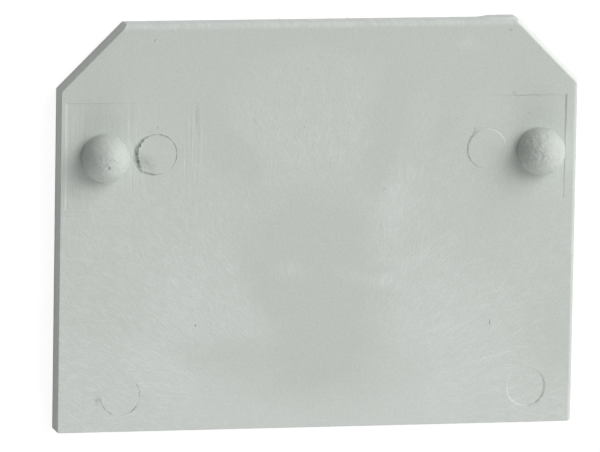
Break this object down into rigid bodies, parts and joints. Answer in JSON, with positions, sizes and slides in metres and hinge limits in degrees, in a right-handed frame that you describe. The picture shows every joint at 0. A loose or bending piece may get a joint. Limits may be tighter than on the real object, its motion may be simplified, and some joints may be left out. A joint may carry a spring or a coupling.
{
  "type": "terminal block partition plate",
  "caption": "Flat moulded plate with cut top corners and domed locating pegs, set between rail-mounted terminal blocks to separate neighbouring circuits.",
  "frame": {"origin": "middle of the plate's bounding box, on its flat back, which lies on the ground", "axes": "+X across the plate, +Y towards the edge with the cut corners, +Z out of the front, along the pegs"},
  "size_m": [0.04, 0.0312, 0.0044],
  "materials": {
    "plate_plastic": "satin moulded polyamide in light grey, with faint rub marks"
  },
  "bodies": {
    "root": {"partition_plate": "plate_plastic"}
  },
  "joints": []
}
